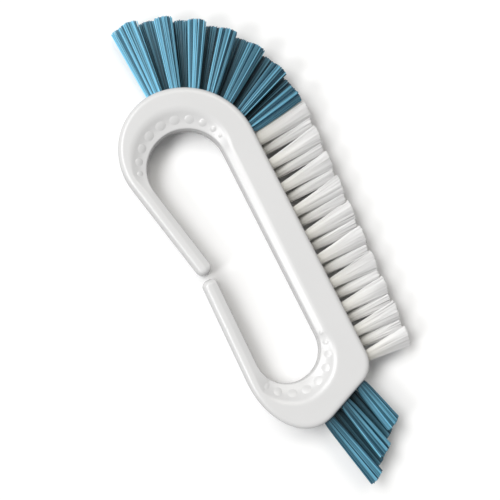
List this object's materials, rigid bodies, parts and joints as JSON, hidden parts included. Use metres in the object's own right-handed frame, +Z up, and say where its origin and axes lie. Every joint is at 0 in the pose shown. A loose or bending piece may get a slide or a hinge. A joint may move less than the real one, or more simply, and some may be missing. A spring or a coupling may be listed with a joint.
{
  "type": "denture brush",
  "caption": "Denture brush: a flat open-loop moulded handle with a finger slot, thumb dishes and grip dots, and stapled bristle tufts fanned round its outer rim.",
  "frame": {"origin": "on the flat underside of the handle, in the middle of its straight spine", "axes": "+Y along the spine towards the fan of long bristles, +X out through the side bristles, +Z up from the face it lies on"},
  "size_m": [0.0594, 0.1575, 0.012],
  "materials": {
    "handle_plastic": "satin moulded polypropylene",
    "blue_filament": "satin nylon filament",
    "white_filament": "satin nylon filament",
    "anchor_metal": "drawn flat wire"
  },
  "bodies": {
    "root": {"handle": "handle_plastic", "fan_bristles": "blue_filament", "side_bristles": "white_filament", "end_bristles": "blue_filament", "fan_anchor_1": "anchor_metal", "fan_anchor_2": "anchor_metal", "fan_anchor_3": "anchor_metal", "fan_anchor_4": "anchor_metal", "fan_anchor_5": "anchor_metal", "fan_anchor_6": "anchor_metal", "fan_anchor_7": "anchor_metal", "fan_anchor_8": "anchor_metal", "fan_anchor_9": "anchor_metal", "fan_anchor_10": "anchor_metal", "fan_anchor_11": "anchor_metal", "fan_anchor_12": "anchor_metal", "fan_anchor_13": "anchor_metal", "fan_anchor_14": "anchor_metal", "side_anchor_1": "anchor_metal", "side_anchor_2": "anchor_metal", "side_anchor_3": "anchor_metal", "side_anchor_4": "anchor_metal", "side_anchor_5": "anchor_metal", "side_anchor_6": "anchor_metal", "side_anchor_7": "anchor_metal", "side_anchor_8": "anchor_metal", "side_anchor_9": "anchor_metal", "side_anchor_10": "anchor_metal", "side_anchor_11": "anchor_metal", "side_anchor_12": "anchor_metal", "side_anchor_13": "anchor_metal", "side_anchor_14": "anchor_metal", "side_anchor_15": "anchor_metal", "side_anchor_16": "anchor_metal", "side_anchor_17": "anchor_metal", "side_anchor_18": "anchor_metal", "side_anchor_19": "anchor_metal", "end_anchor_1": "anchor_metal", "end_anchor_2": "anchor_metal", "end_anchor_3": "anchor_metal", "end_anchor_4": "anchor_metal", "end_anchor_5": "anchor_metal"}
  },
  "joints": []
}
